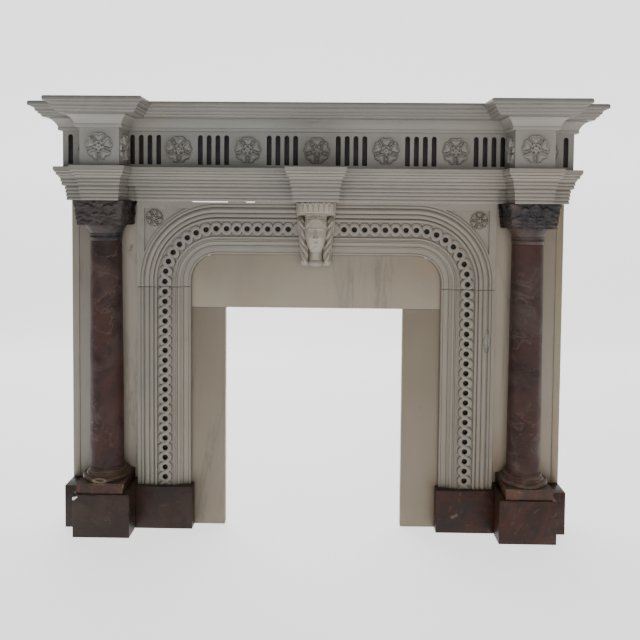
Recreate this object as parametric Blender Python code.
"""Marble chimneypiece: shelf, slotted frieze, architrave, arched surround, columns and plinths.

Metres, +Z up, the front faces -Y, the origin is on the floor in the middle of the bounding box.
Depths are given as the distance forward of the wall face.
"""

import math

import bmesh
import bpy

# Heights, from the floor up
PLINTH_HEIGHT = 0.156
BASE_BLOCK_HEIGHT = 0.038
BASE_MOULD_HEIGHT = 0.036
ORDER_HEIGHT = 1.2022
ARCHITRAVE_HEIGHT = 0.121
FRIEZE_HEIGHT = 0.132
BED_HEIGHT = 0.0440
SHELF_THICKNESS = 0.0520

# Arch and fire opening
ARCH_OPENING_WIDTH = 0.9144
LINTEL_CROWN_HEIGHT = 0.1916
JAMB_WIDTH = 0.1938
JOINT_BELOW_CURVE = 0.0223
ARCH_CORNER_RADIUS = 0.098
FIRE_OPENING_WIDTH = 0.652
TOP_SLIP_HEIGHT = 0.1975
FIRE_OPENING_SHIFT = -0.006
LINTEL_TOP_GAP = 0.003

# Columns and sides
AXIS_FROM_JAMB = 0.112
SIDE_FROM_AXIS = 0.151
COLUMN_AXIS_FORWARD = 0.1335
SHAFT_BOTTOM_RADIUS = 0.0595
SHAFT_TOP_RADIUS = 0.0545
SHAFT_FOOT_BAND = 0.002
SHAFT_CLEARANCE = 0.006
NECK_RING_RADIUS = 0.0575
NECK_TOP_RADIUS = 0.070
BASE_RADIUS = 0.083
BASE_BLOCK_WIDTH = 0.168
CAPITAL_WIDTH = 0.184
CAPITAL_HEIGHT = 0.144
CAPITAL_LEAF_HEIGHT = 0.088
PLINTH_WIDTH = 0.203
PLINTH_INSIDE_AXIS = 0.006
PLINTH_LIP = 0.012
SIDE_RETURN_THICKNESS = 0.025

# Depths forward of the wall
SLIP_FACE = 0.109
JAMB_FACE = 0.130
STRIP_FACE = 0.116
BEAM_FACE = 0.136
KEY_FACE = 0.238
BLOCK_FACE = 0.225
FRIEZE_FACE = 0.111
PLINTH_FACE = 0.2235
REAR_PLINTH_FACE = 0.151
SLAB_THICKNESS = 0.030
ARCH_STONE_THICKNESS = 0.084

# Frieze
FRIEZE_PAST_SIDE = 0.016
BLOCK_WIDTH = 0.138
BLOCK_INSIDE_AXIS = 0.008
SHELF_OVERHANG = 0.089
BED_OVERHANG = 0.034
BED_FOOT = 0.0125
BED_FILLET = 0.013
SHELF_SOFFIT = 0.019
SHELF_BREAK_SHIFT = -0.006
SHELF_BREAK_EXTRA = 0.009
ROSE_RADIUS = 0.0525
ROSE_RELIEF = 0.012
SLOT_SPACING = 0.0321
SLOT_WIDTH = 0.0172
SLOT_HEIGHT = 0.1075
SLOT_DEPTH = 0.012
SLOTS_IN_GROUP = 4
INLAY_RECESS = 0.003
END_SLOT_FROM_END = 0.029
END_GROUP_INSET = 0.003
END_GROUP_FROM_BLOCK = 0.05725

# Architrave
ARCHITRAVE_OVERHANG = 0.030
REED_COUNT = 4
REED_HEIGHT = 0.013
REED_STEP = 0.0015
KEY_WIDTH = 0.160
KEY_OVERHANG_SHARE = 0.88

# Guilloche
GUILLOCHE_INSET = 0.0925
GUILLOCHE_PITCH = 0.0361
GUILLOCHE_WIDTH = 0.058
RING_RADIUS = 0.0160
RING_RELIEF = 0.007
HOLE_RADIUS = 0.0100
HOLE_DEPTH = 0.012
HOLE_SIDES = 6

# Spandrels and mask
SPANDREL_SINK = 0.006
SPANDREL_MARGIN_SIDE = 0.024
SPANDREL_MARGIN_TOP = 0.022
SPANDREL_ROSE_RADIUS = 0.035
MASK_TOP_WIDTH = 0.143
MASK_FOOT_WIDTH = 0.104
MASK_HEIGHT = 0.226
MASK_RELIEF = 0.100

GAP = 0.0003

# Worked out from the sizes above
DEPTH = BLOCK_FACE + SHELF_OVERHANG
BACK_Y = DEPTH / 2
PANEL_FACE = COLUMN_AXIS_FORWARD - SHAFT_BOTTOM_RADIUS - SHAFT_CLEARANCE
JAMB_INNER = ARCH_OPENING_WIDTH / 2
JAMB_OUTER = JAMB_INNER + JAMB_WIDTH
COLUMN_X = JAMB_OUTER + AXIS_FROM_JAMB
SIDE_X = COLUMN_X + SIDE_FROM_AXIS
FRIEZE_END = SIDE_X + FRIEZE_PAST_SIDE
BLOCK_X = COLUMN_X - BLOCK_INSIDE_AXIS
BLOCK_INNER = BLOCK_X - BLOCK_WIDTH / 2
BLOCK_OUTER = BLOCK_X + BLOCK_WIDTH / 2
ROSE_SPACING = (BLOCK_INNER - END_GROUP_FROM_BLOCK) / 2.5
FRIEZE_BOTTOM = ORDER_HEIGHT + ARCHITRAVE_HEIGHT
BED_BOTTOM = FRIEZE_BOTTOM + FRIEZE_HEIGHT
SHELF_BOTTOM = BED_BOTTOM + BED_HEIGHT
FRIEZE_MIDDLE = FRIEZE_BOTTOM + FRIEZE_HEIGHT / 2
LINTEL_TOP = ORDER_HEIGHT - LINTEL_TOP_GAP
CENTRE_LINE_RADIUS = ARCH_CORNER_RADIUS + GUILLOCHE_INSET
CENTRE_LINE_X = JAMB_INNER + GUILLOCHE_INSET
CORNER_X = JAMB_INNER - ARCH_CORNER_RADIUS
ARCH_OPENING_HEIGHT = ORDER_HEIGHT - LINTEL_CROWN_HEIGHT
CORNER_Z = ARCH_OPENING_HEIGHT - ARCH_CORNER_RADIUS
SPRING_JOINT_HEIGHT = CORNER_Z - JOINT_BELOW_CURVE
FIRE_OPENING_HEIGHT = ARCH_OPENING_HEIGHT - TOP_SLIP_HEIGHT
CAPITAL_BOTTOM = ORDER_HEIGHT - GAP - CAPITAL_HEIGHT
BASE_TOP = PLINTH_HEIGHT + BASE_BLOCK_HEIGHT + BASE_MOULD_HEIGHT

SIDES = (("left", -1), ("right", 1))
ROUND_POINTS = 24


def clear_scene():
    for thing in list(bpy.data.objects):
        bpy.data.objects.remove(thing)


def make_material(name, colour, roughness):
    material = bpy.data.materials.new(name)
    material.use_nodes = True
    shader = material.node_tree.nodes["Principled BSDF"]
    shader.inputs["Base Color"].default_value = (*colour, 1)
    shader.inputs["Roughness"].default_value = roughness
    shader.inputs["Metallic"].default_value = 0
    return material


def y_at(forward):
    """The Y of a plane this far forward of the wall."""
    return BACK_Y - forward


def add_object(name, points, faces, material, smooth=False):
    """One closed body from points and faces, its faces turned outwards."""
    mesh = bpy.data.meshes.new(name)
    mesh.from_pydata(points, [], faces)
    body = bmesh.new()
    body.from_mesh(mesh)
    bmesh.ops.remove_doubles(body, verts=body.verts, dist=1e-6)
    bmesh.ops.recalc_face_normals(body, faces=body.faces)
    body.to_mesh(mesh)
    body.free()
    if smooth:
        mesh.shade_smooth()
        mesh.set_sharp_from_angle(angle=math.radians(35))
    made = bpy.data.objects.new(name, mesh)
    bpy.context.scene.collection.objects.link(made)
    mesh.materials.append(material)
    return made


def stack(name, levels, material, smooth=False):
    """A solid through plan outlines of equal length, from the bottom up: (outline, z)."""
    count = len(levels[0][0])
    points = [(x, y, z) for outline, z in levels for x, y in outline]
    faces = [list(range(count)), list(range(len(points) - count, len(points)))]
    for level in range(len(levels) - 1):
        low = level * count
        for i in range(count):
            j = (i + 1) % count
            faces.append((low + i, low + j, low + count + j, low + count + i))
    return add_object(name, points, faces, material, smooth)


def block(name, x_range, forward_range, z_range, material):
    outline = [
        (x_range[0], y_at(forward_range[0])),
        (x_range[0], y_at(forward_range[1])),
        (x_range[1], y_at(forward_range[1])),
        (x_range[1], y_at(forward_range[0])),
    ]
    return stack(name, [(outline, z) for z in z_range], material)


def prism(name, outline, forward_range, material):
    """An outline in the XZ plane, run between two planes."""
    count = len(outline)
    points = [(x, y_at(f), z) for f in forward_range for x, z in outline]
    faces = [list(range(count)), list(range(count, 2 * count))]
    for i in range(count):
        j = (i + 1) % count
        faces.append((i, j, count + j, count + i))
    return add_object(name, points, faces, material)


def symmetric(right_half):
    """A plan outline from its right half, which runs from the middle of the front to the back."""
    return [(-x, y) for x, y in reversed(right_half)] + right_half


def combine(target, tool, operation):
    modifier = target.modifiers.new(tool.name, "BOOLEAN")
    modifier.operation = operation
    modifier.solver = "EXACT"
    modifier.object = tool
    tool.hide_render = True
    tool.display_type = "WIRE"


def joined_tool(name, tools):
    """Several separate tool bodies as one object."""
    points, faces = [], []
    for tool in tools:
        start = len(points)
        points += [tuple(v.co) for v in tool.data.vertices]
        faces += [[start + i for i in face.vertices] for face in tool.data.polygons]
    material = tools[0].data.materials[0]
    for tool in tools:
        bpy.data.objects.remove(tool)
    return add_object(name, points, faces, material)


def rose(name, centre, radius, relief, material, turn=0.0, keep_beyond=None):
    """A five-petalled rose in low relief on an upright face, turned about Z to face sideways.

    keep_beyond cuts off what lies nearer the middle of the piece than that X.
    """
    petals = 5
    steps = petals * 2
    rings = ((0.30, 0.30, 0.55, 0.55), (0.74, 0.70, 0.90, 0.40), (1.0, 0.86, 0.12, 0.12))
    sunk = 0.004
    points = [(0, -relief, 0)]
    for petal_reach, notch_reach, petal_height, notch_height in rings:
        for i in range(steps):
            angle = math.pi / 2 + i * math.tau / steps
            reach = radius * (petal_reach if i % 2 == 0 else notch_reach)
            height = relief * (petal_height if i % 2 == 0 else notch_height)
            points.append((reach * math.cos(angle), -height, reach * math.sin(angle)))
    for x, _, z in points[-steps:]:
        points.append((x, sunk, z))
    faces = [(0, 1 + i, 1 + (i + 1) % steps) for i in range(steps)]
    for ring in range(len(rings)):
        low = 1 + ring * steps
        for i in range(steps):
            j = (i + 1) % steps
            faces.append((low + i, low + j, low + steps + j, low + steps + i))
    faces.append(list(range(len(points) - steps, len(points))))
    cos, sin = math.cos(turn), math.sin(turn)
    placed = [
        (centre[0] + x * cos - y * sin, centre[1] + x * sin + y * cos, centre[2] + z)
        for x, y, z in points
    ]
    made = add_object(name, placed, faces, material)
    if keep_beyond is not None:
        body = bmesh.new()
        body.from_mesh(made.data)
        cut = bmesh.ops.bisect_plane(
            body,
            geom=body.verts[:] + body.edges[:] + body.faces[:],
            plane_co=(keep_beyond, 0, 0),
            plane_no=(math.copysign(1, keep_beyond), 0, 0),
            clear_inner=True,
        )
        edges = [e for e in cut["geom_cut"] if isinstance(e, bmesh.types.BMEdge)]
        bmesh.ops.contextual_create(body, geom=edges)
        bmesh.ops.recalc_face_normals(body, faces=body.faces)
        body.to_mesh(made.data)
        body.free()
    return made


def shelf_profile():
    """Overhang past the frieze and height above the underside, from the bottom up."""
    lip = SHELF_OVERHANG
    start = BED_OVERHANG + SHELF_SOFFIT
    high = SHELF_THICKNESS
    reach = lip - start
    return [
        (start, 0),
        (start + 0.04 * reach, 0.10 * high),
        (start + 0.22 * reach, 0.17 * high),
        (start + 0.34 * reach, 0.32 * high),
        (start + 0.42 * reach, 0.33 * high),
        (start + 0.48 * reach, 0.47 * high),
        (start + 0.68 * reach, 0.60 * high),
        (lip - 0.003, 0.64 * high),
        (lip, 0.69 * high),
        (lip, 0.94 * high),
        (lip - 0.0025, high),
    ]


def bed_profile():
    """The hollow under the shelf: overhang past the frieze and height above its top line."""
    foot = BED_FOOT
    hollow = BED_OVERHANG - foot
    rise = 0.90 * BED_HEIGHT - BED_FILLET
    levels = [(0, 0), (foot, 0.0008), (foot, BED_FILLET)]
    steps = 4
    for i in range(1, steps + 1):
        angle = i / steps * math.pi / 2
        levels.append((foot + hollow * (1 - math.cos(angle)), BED_FILLET + rise * math.sin(angle)))
    levels.append((BED_OVERHANG, BED_HEIGHT - GAP))
    return levels


def architrave_profile():
    """Overhang past the lowest reed and height above the underside."""
    levels = []
    for i in range(REED_COUNT):
        out = i * REED_STEP
        levels.append((out, i * REED_HEIGHT + (0.001 if i else 0)))
        levels.append((out, (i + 1) * REED_HEIGHT - 0.001))
    reeds_top = REED_COUNT * REED_HEIGHT
    fillet = 0.86 * ARCHITRAVE_HEIGHT
    start = REED_COUNT * REED_STEP
    reach = ARCHITRAVE_OVERHANG - start
    high = fillet - reeds_top
    levels += [
        (start, reeds_top),
        (start + 0.10 * reach, reeds_top + 0.35 * high),
        (start + 0.40 * reach, reeds_top + 0.70 * high),
        (start + 0.70 * reach, reeds_top + 0.74 * high),
        (start + 0.82 * reach, fillet),
        (ARCHITRAVE_OVERHANG, fillet + 0.001),
        (ARCHITRAVE_OVERHANG, ARCHITRAVE_HEIGHT - GAP),
    ]
    return levels


def make_shelf(marble):
    levels = []
    inner = BLOCK_INNER + SHELF_BREAK_SHIFT - SHELF_BREAK_EXTRA
    outer = BLOCK_OUTER + SHELF_BREAK_SHIFT + SHELF_BREAK_EXTRA
    for out, rise in shelf_profile():
        front = y_at(FRIEZE_FACE + out)
        broken = y_at(BLOCK_FACE + out)
        right_half = [
            (inner - out, front),
            (inner - out, broken),
            (outer + out, broken),
            (outer + out, front),
            (FRIEZE_END + out, front),
            (FRIEZE_END + out, BACK_Y),
        ]
        levels.append((symmetric(right_half), SHELF_BOTTOM + rise))
    stack("shelf", levels, marble)


def slot_outline(x, grow=0.0):
    """A slot with a round head and a square foot, in the XZ plane."""
    half = SLOT_WIDTH / 2 + grow
    foot = FRIEZE_MIDDLE - SLOT_HEIGHT / 2 - grow
    spring = FRIEZE_MIDDLE + SLOT_HEIGHT / 2 - SLOT_WIDTH / 2
    steps = 4
    arc = [
        (x + half * math.cos(i * math.pi / steps), spring + half * math.sin(i * math.pi / steps))
        for i in range(steps + 1)
    ]
    return [(x - half, foot), (x + half, foot)] + arc


def slot_places():
    """The X of every slot: groups between the roses, and one near each end."""
    groups = [ROSE_SPACING * 0.5, ROSE_SPACING * 1.5, ROSE_SPACING * 2.5 - END_GROUP_INSET]
    places = []
    for centre in groups:
        for i in range(SLOTS_IN_GROUP):
            places.append(centre + (i - (SLOTS_IN_GROUP - 1) / 2) * SLOT_SPACING)
    places.append(FRIEZE_END - END_SLOT_FROM_END)
    return sorted([-x for x in places] + places)


def make_frieze(marble, dark):
    levels = []
    profile = [(0, -FRIEZE_HEIGHT)] + bed_profile()
    for out, rise in profile:
        front = y_at(FRIEZE_FACE + out)
        right_half = [(FRIEZE_END + out, front), (FRIEZE_END + out, BACK_Y)]
        levels.append((symmetric(right_half), BED_BOTTOM + rise))
    frieze = stack("frieze", levels, marble)
    cutters = []
    for number, x in enumerate(slot_places(), start=1):
        reach = (FRIEZE_FACE - SLOT_DEPTH, FRIEZE_FACE + SLOT_DEPTH)
        cutters.append(prism(f"slot_{number}", slot_outline(x), reach, marble))
        strip = (FRIEZE_FACE - SLOT_DEPTH + GAP, FRIEZE_FACE - INLAY_RECESS)
        prism(f"frieze_inlay_{number:02d}", slot_outline(x, -GAP), strip, dark)
    combine(frieze, joined_tool("frieze_slots", cutters), "DIFFERENCE")
    roses = []
    face = y_at(FRIEZE_FACE)
    for i in range(-2, 3):
        centre = (i * ROSE_SPACING, face, FRIEZE_MIDDLE)
        roses.append(rose(f"frieze_rose_{i}", centre, ROSE_RADIUS, ROSE_RELIEF, marble))
    for name, side in SIDES:
        edge = side * (BLOCK_OUTER + GAP)
        centre = (side * BLOCK_OUTER, face, FRIEZE_MIDDLE)
        roses.append(
            rose(f"{name}_half_rose", centre, ROSE_RADIUS, ROSE_RELIEF, marble, 0, edge)
        )
    combine(frieze, joined_tool("frieze_roses", roses), "UNION")


def make_frieze_block(name, side, marble):
    """The block over a column, its back shaped to the frieze and its head hollowed like the bed."""
    levels = []
    profile = [(0, -FRIEZE_HEIGHT)] + bed_profile()
    for out, rise in profile:
        rear = y_at(FRIEZE_FACE + out + GAP)
        front = y_at(BLOCK_FACE + out)
        inner = side * (BLOCK_INNER - out)
        outer = side * (BLOCK_OUTER + out)
        outline = [(inner, rear), (inner, front), (outer, front), (outer, rear)]
        levels.append((outline, BED_BOTTOM + rise))
    made = stack(f"{name}_frieze_block", levels, marble)
    middle = y_at((FRIEZE_FACE + BLOCK_FACE) / 2)
    roses = [
        rose(f"{name}_block_rose_front", (side * BLOCK_X, y_at(BLOCK_FACE), FRIEZE_MIDDLE),
             ROSE_RADIUS, ROSE_RELIEF, marble),
        rose(f"{name}_block_rose_inner", (side * BLOCK_INNER, middle, FRIEZE_MIDDLE),
             ROSE_RADIUS, ROSE_RELIEF, marble, -side * math.pi / 2),
    ]
    combine(made, joined_tool(f"{name}_block_roses", roses), "UNION")


def make_architrave(marble):
    """One beam that breaks forward over the arch, the columns and the mask."""
    levels = []
    reeds_top = REED_COUNT * REED_HEIGHT
    inset = 0.004
    for out, rise in architrave_profile():
        over_arch = y_at(BEAM_FACE + out)
        strip = y_at(STRIP_FACE + out) if rise < reeds_top else over_arch
        step_x = JAMB_OUTER + min(out, REED_COUNT * REED_STEP)
        inner = BLOCK_INNER + inset - out
        outer = BLOCK_OUTER - inset + out
        key_out = out * KEY_OVERHANG_SHARE
        right_half = [
            (KEY_WIDTH / 2 + key_out, y_at(KEY_FACE + key_out)),
            (KEY_WIDTH / 2 + key_out, over_arch),
            (min(step_x, inner - GAP), over_arch),
            (min(step_x, inner - GAP), strip),
            (inner, strip),
            (inner, y_at(BLOCK_FACE + out)),
            (outer, y_at(BLOCK_FACE + out)),
            (outer, strip),
            (SIDE_X + out, strip),
            (SIDE_X + out, BACK_Y),
        ]
        levels.append((symmetric(right_half), ORDER_HEIGHT + rise))
    stack("architrave", levels, marble)


def arch_profile():
    """Across the arch moulding: distance outwards from the line of holes, and forward of the jamb face."""
    inner = -GUILLOCHE_INSET
    band = GUILLOCHE_WIDTH / 2
    return [
        (inner, -0.014),
        (inner + 0.003, -0.008),
        (inner + 0.020, -0.008),
        (inner + 0.024, -0.002),
        (inner + 0.042, -0.002),
        (inner + 0.048, 0.004),
        (-band - 0.008, 0.006),
        (-band, 0.0),
        (band, 0.0),
        (band + 0.006, 0.006),
        (band + 0.014, 0.000),
        (band + 0.022, 0.005),
        (band + 0.031, -0.003),
        (band + 0.042, 0),
        (band + 0.054, -0.003),
        (band + 0.060, 0.0),
    ]


BAND_INNER = 7
BAND_OUTER = 8


def arch_point(along, across):
    """XZ of a point on the right half: along the line of holes from the joint, and outwards from it."""
    upright = CORNER_Z - SPRING_JOINT_HEIGHT
    bend = CENTRE_LINE_RADIUS * math.pi / 2
    if along <= upright:
        return CENTRE_LINE_X + across, SPRING_JOINT_HEIGHT + along
    if along <= upright + bend:
        angle = (along - upright) / CENTRE_LINE_RADIUS
        reach = CENTRE_LINE_RADIUS + across
        return CORNER_X + reach * math.cos(angle), CORNER_Z + reach * math.sin(angle)
    return CORNER_X - (along - upright - bend), CORNER_Z + CENTRE_LINE_RADIUS + across


def arch_half_length():
    return CORNER_Z - SPRING_JOINT_HEIGHT + CENTRE_LINE_RADIUS * math.pi / 2 + CORNER_X


class Carving:
    """Collects the points and faces of one arch stone."""

    def __init__(self, place):
        self.place = place
        self.points = []
        self.faces = []

    def point(self, along, across, forward):
        x, z = self.place(along, across)
        self.points.append((x, y_at(JAMB_FACE + forward), z))
        return len(self.points) - 1

    def line(self, along, flat):
        """The profile at one station; flat presses it down where another stone is bedded."""
        return [
            self.point(along, across, min(forward, 0.0) if flat else forward)
            for across, forward in arch_profile()
        ]

    def ring_cell(self, low, high, along_low, along_high):
        """One ring with its drilled hole between two stations."""
        corners = [low[BAND_INNER], high[BAND_INNER], high[BAND_OUTER], low[BAND_OUTER]]
        middle = (along_low + along_high) / 2
        loops = []
        for radius, forward in (
            (RING_RADIUS, RING_RELIEF), (HOLE_RADIUS, RING_RELIEF * 0.6), (HOLE_RADIUS * 0.9, -HOLE_DEPTH)
        ):
            loop = []
            for i in range(HOLE_SIDES):
                angle = i * math.tau / HOLE_SIDES
                loop.append(self.point(middle + radius * math.cos(angle), radius * math.sin(angle), forward))
            loops.append(loop)
        ring = loops[0]
        half = HOLE_SIDES // 2
        for a, b, end, inwards in (
            (corners[0], corners[1], 0, HOLE_SIDES - 1), (corners[2], corners[3], half, half - 1)
        ):
            opposite = half if end == 0 else 0
            self.faces.append((a, b, ring[inwards], ring[inwards - 1]))
            self.faces.append((b, ring[end], ring[inwards]))
            self.faces.append((a, ring[inwards - 1], ring[opposite]))
        self.faces.append((corners[1], corners[2], ring[0]))
        self.faces.append((corners[3], corners[0], ring[half]))
        for a, b in zip(loops, loops[1:]):
            for i in range(HOLE_SIDES):
                j = (i + 1) % HOLE_SIDES
                self.faces.append((a[i], a[j], b[j], b[i]))
        self.faces.append(loops[-1])

    def strips(self, low, high, along_low, along_high, carved):
        for i in range(len(low) - 1):
            if carved and i == BAND_INNER:
                self.ring_cell(low, high, along_low, along_high)
            else:
                self.faces.append((low[i], high[i], high[i + 1], low[i + 1]))


def make_jamb(name, side, marble):
    """An upright stone: whole rings counted down from the joint, and a plain rest at the foot."""
    foot = PLINTH_HEIGHT + GAP
    head = SPRING_JOINT_HEIGHT - GAP
    rings = int((head - foot) / GUILLOCHE_PITCH)
    carving = Carving(lambda along, across: (side * (CENTRE_LINE_X + across), head - along))
    stations = [i * GUILLOCHE_PITCH for i in range(rings + 1)] + [head - foot]
    rear = JAMB_FACE - ARCH_STONE_THICKNESS
    lines = []
    for along in stations:
        line = carving.line(along, False)
        edge = carving.point(along, JAMB_OUTER - CENTRE_LINE_X, 0.0)
        lines.append(line + [edge])
    for i in range(len(lines) - 1):
        carving.strips(lines[i], lines[i + 1], stations[i], stations[i + 1], i < rings)
    corners = []
    for along in (stations[0], stations[-1]):
        for across in (JAMB_OUTER - CENTRE_LINE_X, -GUILLOCHE_INSET):
            corners.append(carving.point(along, across, rear - JAMB_FACE))
    carving.faces.append(lines[0] + [corners[0], corners[1]])
    carving.faces.append(lines[-1] + [corners[2], corners[3]])
    carving.faces.append([line[-1] for line in lines] + [corners[2], corners[0]])
    carving.faces.append([line[0] for line in lines] + [corners[3], corners[1]])
    carving.faces.append((corners[0], corners[1], corners[3], corners[2]))
    add_object(f"{name}_jamb", carving.points, carving.faces, marble)


def lintel_stations():
    """Distances along the right half, with whether the cell that follows is carved and whether the line is flat."""
    length = arch_half_length()
    bed = MASK_TOP_WIDTH / 2 + 0.002
    carved_length = length - bed - 0.5 * GUILLOCHE_PITCH
    rings = round(carved_length / GUILLOCHE_PITCH)
    pitch = carved_length / rings
    stations = [(i * pitch, i < rings, False) for i in range(rings + 1)]
    stations.append((length - bed, False, False))
    stations.append((length - bed + 0.001, False, True))
    stations.append((length, False, True))
    return stations


def make_lintel(marble):
    stations = lintel_stations()
    right = Carving(lambda along, across: arch_point(along, across))
    all_lines = []
    for side in (1, -1):
        right.place = lambda along, across, side=side: (
            side * arch_point(along, across)[0], arch_point(along, across)[1]
        )
        lines = [right.line(along, flat) for along, _, flat in stations]
        for i in range(len(lines) - 1):
            right.strips(lines[i], lines[i + 1], stations[i][0], stations[i + 1][0], stations[i][1])
        all_lines.append(lines)
    points, faces = right.points, right.faces

    def corner(x, forward, z):
        points.append((x, y_at(forward), z))
        return len(points) - 1

    rear = JAMB_FACE - ARCH_STONE_THICKNESS
    foot = SPRING_JOINT_HEIGHT
    top_middle = corner(0, JAMB_FACE, LINTEL_TOP)
    rear_ring = {}
    for side, lines in zip((1, -1), all_lines):
        top = corner(side * JAMB_OUTER, JAMB_FACE, LINTEL_TOP)
        low = corner(side * JAMB_OUTER, JAMB_FACE, foot)
        top_rear = corner(side * JAMB_OUTER, rear, LINTEL_TOP)
        low_rear = corner(side * JAMB_OUTER, rear, foot)
        inner_front = [line[0] for line in lines]
        inner_rear = [corner(points[i][0], rear, points[i][2]) for i in inner_front]
        faces.append([line[-1] for line in lines] + [top_middle, top, low])
        faces.append(lines[0] + [low, low_rear, inner_rear[0]])
        faces.append((top, low, low_rear, top_rear))
        for i in range(len(lines) - 1):
            faces.append((inner_front[i], inner_front[i + 1], inner_rear[i + 1], inner_rear[i]))
        rear_ring[side] = (top, top_rear, low_rear, inner_rear)
    faces.append((rear_ring[1][0], top_middle, rear_ring[-1][0], rear_ring[-1][1], rear_ring[1][1]))
    back = [rear_ring[1][1], rear_ring[1][2]] + rear_ring[1][3]
    back += list(reversed(rear_ring[-1][3])) + [rear_ring[-1][2], rear_ring[-1][1]]
    faces.append(back)
    made = add_object("lintel", points, faces, marble)
    fields = [spandrel(name, side, marble) for name, side in SIDES]
    combine(made, joined_tool("spandrel_fields", fields), "DIFFERENCE")
    roses = []
    for name, side in SIDES:
        x = JAMB_OUTER - SPANDREL_MARGIN_SIDE - SPANDREL_ROSE_RADIUS
        z = LINTEL_TOP - SPANDREL_MARGIN_TOP - SPANDREL_ROSE_RADIUS
        centre = (side * x, y_at(JAMB_FACE - SPANDREL_SINK), z)
        roses.append(
            rose(f"{name}_spandrel_rose", centre, SPANDREL_ROSE_RADIUS * 0.97, ROSE_RELIEF * 0.8, marble)
        )
    combine(made, joined_tool("spandrel_roses", roses), "UNION")


def spandrel(name, side, marble):
    """The sunk field in a corner: two straight sides and the arc of the moulding."""
    reach = CENTRE_LINE_RADIUS + arch_profile()[-1][0] + 0.006
    side_x = JAMB_OUTER - SPANDREL_MARGIN_SIDE
    top_z = LINTEL_TOP - SPANDREL_MARGIN_TOP
    first = math.acos(min(1.0, (side_x - CORNER_X) / reach))
    last = math.asin(min(1.0, (top_z - CORNER_Z) / reach))
    steps = 8
    outline = []
    for i in range(steps + 1):
        angle = first + (last - first) * i / steps
        outline.append((side * (CORNER_X + reach * math.cos(angle)), CORNER_Z + reach * math.sin(angle)))
    if CORNER_Z + reach < top_z:
        outline.append((side * CORNER_X, top_z))
    outline.append((side * side_x, top_z))
    if CORNER_X + reach < side_x:
        outline.append((side * side_x, CORNER_Z))
    reach_out = (JAMB_FACE - SPANDREL_SINK, JAMB_FACE + SPANDREL_SINK)
    return prism(f"{name}_spandrel", outline, reach_out, marble)


def bump(value, centre, width):
    return math.exp(-(((value - centre) / width) ** 2))


def mask_height(u, v):
    """Relief of the mask as a share of its depth: u runs -1 to 1 across, v 0 to 1 from foot to head."""
    wide = abs(u)
    head = max(0.0, 1 - (u / 0.62) ** 2 - ((v - 0.50) / 0.40) ** 2)
    form = 0.30 + 0.52 * math.sqrt(head)
    crown = 0.30 * bump(v, 0.90, 0.13) * (1 - 0.35 * wide**2)
    tress = 0.26 * bump(wide, 0.80, 0.17) * (1 - 0.4 * v)
    face = 0.13 * bump(u, 0, 0.075) * bump(v, 0.485, 0.075)
    face += 0.05 * bump(v, 0.60, 0.035) * bump(wide, 0.22, 0.16)
    face -= 0.06 * bump(v, 0.555, 0.035) * bump(wide, 0.20, 0.10)
    face += 0.045 * bump(v, 0.375, 0.025) * bump(u, 0, 0.15)
    face += 0.060 * bump(v, 0.285, 0.045) * bump(u, 0, 0.13)
    throat = -0.18 * bump(v, 0.10, 0.08) * bump(wide, 0.25, 0.25)
    return form + crown + tress + face + throat


def make_mask(marble):
    """The carved head under the middle break: a tapering block with its relief in front."""
    columns, rows = 14, 18
    top = LINTEL_TOP
    foot = top - MASK_HEIGHT
    points, faces = [], []
    rear = JAMB_FACE + GAP
    for row in range(rows + 1):
        v = row / rows
        half = (MASK_FOOT_WIDTH + (MASK_TOP_WIDTH - MASK_FOOT_WIDTH) * min(1, v * 1.15)) / 2
        for column in range(columns + 1):
            u = column / columns * 2 - 1
            forward = rear + MASK_RELIEF * mask_height(u, v) * (1 - 0.35 * abs(u) ** 6)
            points.append((half * u, y_at(forward), foot + (top - foot) * v))
    width = columns + 1
    for row in range(rows):
        for column in range(columns):
            low = row * width + column
            faces.append((low, low + 1, low + width + 1, low + width))
    start = len(points)
    edge = [i for i in range(columns)]
    edge += [row * width + columns for row in range(rows)]
    edge += [rows * width + columns - i for i in range(columns)]
    edge += [(rows - row) * width for row in range(rows)]
    for i in edge:
        points.append((points[i][0], y_at(rear), points[i][2]))
    for i in range(len(edge)):
        j = (i + 1) % len(edge)
        faces.append((edge[i], edge[j], start + j, start + i))
    faces.append(list(range(start, len(points))))
    add_object("keystone_mask", points, faces, marble, smooth=True)


def make_slips(marble):
    """Flat stones set inside the arch; the top one follows its round corners."""
    rear = SLIP_FACE - SLAB_THICKNESS
    edge = JAMB_INNER - GAP
    for name, side in SIDES:
        across = sorted((FIRE_OPENING_SHIFT + side * FIRE_OPENING_WIDTH / 2, side * edge))
        block(f"{name}_slip", across, (rear, SLIP_FACE), (0, FIRE_OPENING_HEIGHT - GAP), marble)
    steps = 9
    radius = ARCH_CORNER_RADIUS - GAP
    right = [(edge, FIRE_OPENING_HEIGHT)]
    for i in range(steps + 1):
        angle = i / steps * math.pi / 2
        right.append((CORNER_X + radius * math.cos(angle) - GAP, CORNER_Z + radius * math.sin(angle) - GAP))
    outline = right + [(-x, z) for x, z in reversed(right)]
    prism("top_slip", outline, (rear, SLIP_FACE), marble)


def make_side_slabs(name, side, marble):
    """The panel behind a column, and the narrow slab that closes the outer side."""
    upright = (PLINTH_HEIGHT + GAP, ORDER_HEIGHT - GAP)
    return_inner = SIDE_X - SIDE_RETURN_THICKNESS
    across = sorted((side * (JAMB_OUTER + GAP), side * (return_inner - GAP)))
    block(f"{name}_pilaster_panel", across, (PANEL_FACE - SLAB_THICKNESS, PANEL_FACE), upright, marble)
    across = sorted((side * return_inner, side * SIDE_X))
    block(f"{name}_side_return", across, (0, PANEL_FACE + 0.002), upright, marble)


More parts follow.
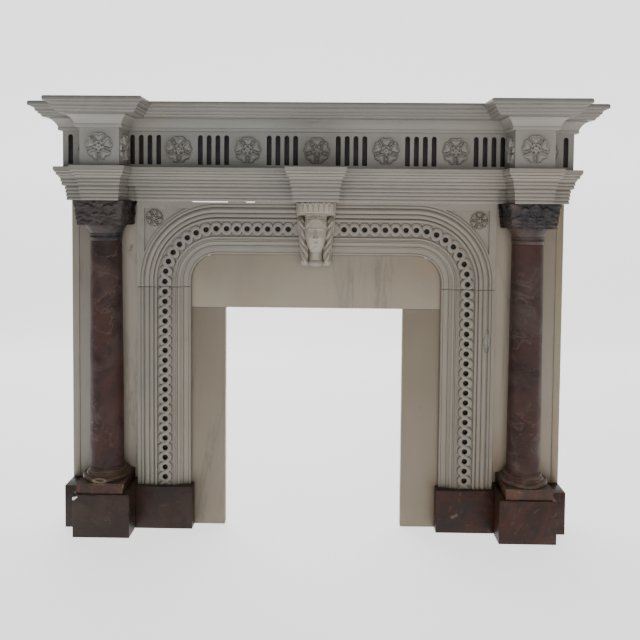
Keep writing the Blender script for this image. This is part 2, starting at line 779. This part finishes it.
def column_ring(side, half, squareness):
    """A plan ring about the column's axis, from round (0) to square (1), cut flat where it meets the panel."""
    ring = []
    rear = y_at(PANEL_FACE + GAP)
    for i in range(ROUND_POINTS):
        angle = i * math.tau / ROUND_POINTS
        cos, sin = math.cos(angle), math.sin(angle)
        reach = half / max(abs(cos), abs(sin)) ** squareness
        y = min(y_at(COLUMN_AXIS_FORWARD) + reach * sin, rear)
        ring.append((side * COLUMN_X + reach * cos, y))
    return ring


def column_stack(name, side, levels, material):
    made = [(column_ring(side, half, square), z) for z, half, square in levels]
    return stack(name, made, material, smooth=True)


def make_shaft(name, side, marble):
    """A shaft with a slight swelling."""
    foot = BASE_TOP + GAP
    head = CAPITAL_BOTTOM - GAP
    steps = 4
    band = SHAFT_BOTTOM_RADIUS + SHAFT_FOOT_BAND
    levels = [(foot, band, 0), (foot + 4 * SHAFT_FOOT_BAND, band, 0)]
    for i in range(steps + 1):
        share = i / steps
        radius = SHAFT_BOTTOM_RADIUS + (SHAFT_TOP_RADIUS - SHAFT_BOTTOM_RADIUS) * share**1.6
        start = foot + 6 * SHAFT_FOOT_BAND
        levels.append((start + (head - start) * share, radius, 0))
    column_stack(f"{name}_column_shaft", side, levels, marble)


def make_base(name, side, marble):
    """A turned base on its square block."""
    low = PLINTH_HEIGHT + GAP
    step = PLINTH_HEIGHT + BASE_BLOCK_HEIGHT
    high = BASE_MOULD_HEIGHT
    block_half = BASE_BLOCK_WIDTH / 2
    swell = BASE_RADIUS - SHAFT_BOTTOM_RADIUS
    levels = [
        (low, block_half, 1),
        (step, block_half, 1),
        (step + 0.0005, BASE_RADIUS - 0.004, 0),
        (step + 0.10 * high, BASE_RADIUS - 0.001, 0),
        (step + 0.28 * high, BASE_RADIUS, 0),
        (step + 0.46 * high, BASE_RADIUS - 0.10 * swell, 0),
        (step + 0.52 * high, BASE_RADIUS - 0.38 * swell, 0),
        (step + 0.72 * high, BASE_RADIUS - 0.60 * swell, 0),
        (step + 0.76 * high, BASE_RADIUS - 0.40 * swell, 0),
        (step + 0.94 * high, BASE_RADIUS - 0.42 * swell, 0),
        (step + high, BASE_RADIUS - 0.75 * swell, 0),
    ]
    column_stack(f"{name}_column_base", side, levels, marble)


def make_capital(name, side, marble):
    """A squared leaf block over a turned neck with two rings."""
    top = ORDER_HEIGHT - GAP
    leaf = top - CAPITAL_LEAF_HEIGHT
    low = CAPITAL_BOTTOM
    neck = leaf - low
    half = CAPITAL_WIDTH / 2
    throat = SHAFT_TOP_RADIUS + 0.0015
    levels = [
        (low, throat, 0),
        (low + 0.05 * neck, NECK_RING_RADIUS, 0),
        (low + 0.14 * neck, NECK_RING_RADIUS, 0),
        (low + 0.20 * neck, throat, 0),
        (low + 0.32 * neck, throat, 0),
        (low + 0.38 * neck, NECK_RING_RADIUS + 0.0015, 0),
        (low + 0.48 * neck, NECK_RING_RADIUS + 0.0015, 0),
        (low + 0.54 * neck, throat + 0.003, 0),
        (low + 0.97 * neck, NECK_TOP_RADIUS, 0.05),
        (leaf, half * 0.86, 0.70),
        (leaf + 0.12 * CAPITAL_LEAF_HEIGHT, half * 0.89, 0.80),
        (leaf + 0.55 * CAPITAL_LEAF_HEIGHT, half * 0.93, 0.85),
        (leaf + 0.88 * CAPITAL_LEAF_HEIGHT, half * 0.99, 0.92),
        (top, half, 0.97),
    ]
    column_stack(f"{name}_capital", side, levels, marble)


def make_plinths(name, side, marble):
    """The block under a column with its wider rear part, and the lower block under the jamb."""
    middle = COLUMN_X - PLINTH_INSIDE_AXIS
    inner = middle - PLINTH_WIDTH / 2
    outer = middle + PLINTH_WIDTH / 2
    outline = [
        (side * inner, BACK_Y),
        (side * inner, y_at(PLINTH_FACE)),
        (side * outer, y_at(PLINTH_FACE)),
        (side * outer, y_at(REAR_PLINTH_FACE)),
        (side * SIDE_X, y_at(REAR_PLINTH_FACE)),
        (side * SIDE_X, BACK_Y),
    ]
    stack(f"{name}_column_plinth", [(outline, 0), (outline, PLINTH_HEIGHT)], marble)
    lip = JAMB_INNER - PLINTH_LIP
    outline = [
        (side * lip, y_at(SLIP_FACE + GAP)),
        (side * lip, y_at(REAR_PLINTH_FACE)),
        (side * (inner - GAP), y_at(REAR_PLINTH_FACE)),
        (side * (inner - GAP), y_at(JAMB_FACE - ARCH_STONE_THICKNESS)),
        (side * JAMB_INNER, y_at(JAMB_FACE - ARCH_STONE_THICKNESS)),
        (side * JAMB_INNER, y_at(SLIP_FACE + GAP)),
    ]
    stack(f"{name}_jamb_plinth", [(outline, 0), (outline, PLINTH_HEIGHT)], marble)


def main():
    clear_scene()
    white = make_material("white marble", (0.55, 0.52, 0.48), 0.45)
    red = make_material("red marble", (0.20, 0.09, 0.08), 0.25)
    dark = make_material("dark marble", (0.07, 0.065, 0.07), 0.35)
    brown = make_material("brown marble", (0.13, 0.08, 0.065), 0.35)
    make_shelf(white)
    make_frieze(white, dark)
    make_architrave(white)
    make_lintel(white)
    make_mask(white)
    make_slips(white)
    for name, side in SIDES:
        make_frieze_block(name, side, white)
        make_jamb(name, side, white)
        make_side_slabs(name, side, white)
        make_shaft(name, side, red)
        make_capital(name, side, dark)
        make_base(name, side, brown)
        make_plinths(name, side, brown)


main()
